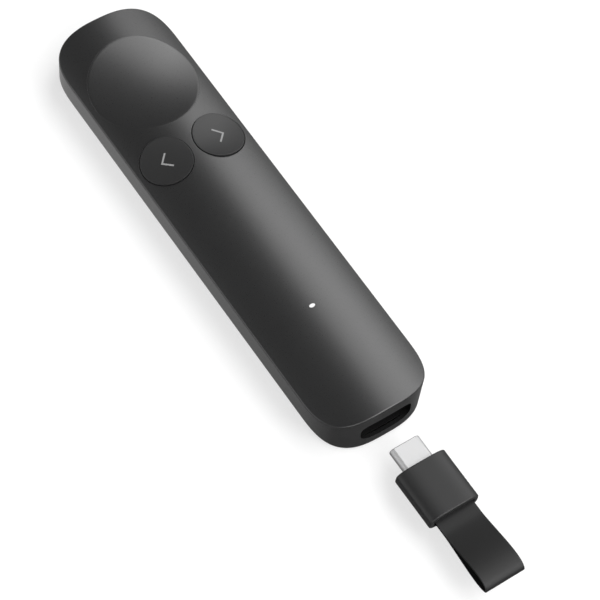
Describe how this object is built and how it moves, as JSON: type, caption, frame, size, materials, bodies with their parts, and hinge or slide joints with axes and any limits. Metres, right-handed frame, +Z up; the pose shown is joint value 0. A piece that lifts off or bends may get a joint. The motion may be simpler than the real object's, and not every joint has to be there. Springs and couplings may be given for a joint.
{
  "type": "wireless presentation clicker",
  "caption": "Slim handheld presentation clicker with a dished pointer key, back and next keys, and a plug-in radio receiver on a strap that stows in its tail.",
  "frame": {"origin": "on the flat underside of the handset, in the middle of its length and width, at table height", "axes": "+Y along the handset to its nose with the pointer key, +X to the right seen from above with the nose away, +Z up out of the keys"},
  "size_m": [0.0306, 0.1743, 0.0123],
  "materials": {
    "shell_plastic": "fine moulded texture",
    "cover_plastic": "fine moulded satin",
    "key_plastic": "fine moulded satin",
    "small_key_plastic": "drier moulded satin",
    "arrow_plastic": "second shot of the key moulding",
    "bay_plastic": "plain black moulding",
    "cap_plastic": "fine moulded satin",
    "strap_rubber": "soft matt",
    "plug_steel": "satin nickel plate",
    "connector_plastic": "glass-filled nylon",
    "contact_gold": "gold flash",
    "board_laminate": "solder mask",
    "battery_foil": "satin foil",
    "foam": "closed-cell foam",
    "tab_nickel": "nickel",
    "screw_steel": "zinc plate",
    "switch_metal": "satin",
    "chip_plastic": "epoxy",
    "ceramic": "fired ceramic",
    "led_white": "phosphor",
    "light_window": "clear diffuser, lit white"
  },
  "bodies": {
    "handset": {"base_shell": "shell_plastic", "top_cover": "cover_plastic", "receiver_bay": "bay_plastic", "circuit_board": "board_laminate", "board_screws": "screw_steel", "battery": "battery_foil", "battery_pad": "foam", "battery_tabs": "tab_nickel", "vibration_motor": "tab_nickel", "port_shell": "plug_steel", "port_tongue": "connector_plastic", "port_contacts": "contact_gold", "pointer_switch": "switch_metal", "back_switch": "switch_metal", "next_switch": "switch_metal", "radio_chip": "chip_plastic", "power_chip": "chip_plastic", "motion_sensor": "chip_plastic", "antenna": "ceramic", "crystal": "tab_nickel", "small_parts": "ceramic", "status_led": "led_white", "light_pipe": "light_window"},
    "pointer_key": {"pointer_button": "key_plastic"},
    "back_key": {"back_button": "small_key_plastic", "back_arrow": "arrow_plastic"},
    "next_key": {"next_button": "small_key_plastic", "next_arrow": "arrow_plastic"},
    "receiver": {"plug_shell": "plug_steel", "plug_core": "connector_plastic", "plug_contacts": "contact_gold", "receiver_cap": "cap_plastic", "receiver_board": "board_laminate", "receiver_chip": "chip_plastic", "receiver_antenna": "ceramic", "strap": "strap_rubber", "strap_pin": "screw_steel"}
  },
  "joints": [
    {"name": "pointer_press", "type": "slide", "parent": "handset", "child": "pointer_key", "axis": [0, 0, -1], "range_m": [0, 0.00035], "stiffness_N_per_m": 1500, "springref_m": -0.0005},
    {"name": "back_press", "type": "slide", "parent": "handset", "child": "back_key", "axis": [0, 0, -1], "range_m": [0, 0.00035], "stiffness_N_per_m": 1500, "springref_m": -0.0005},
    {"name": "next_press", "type": "slide", "parent": "handset", "child": "next_key", "axis": [0, 0, -1], "range_m": [0, 0.00035], "stiffness_N_per_m": 1500, "springref_m": -0.0005},
    {"name": "receiver_slide", "type": "slide", "parent": "handset", "child": "receiver", "axis": [0, 1, 0], "range_m": [0, 0.0267]}
  ]
}
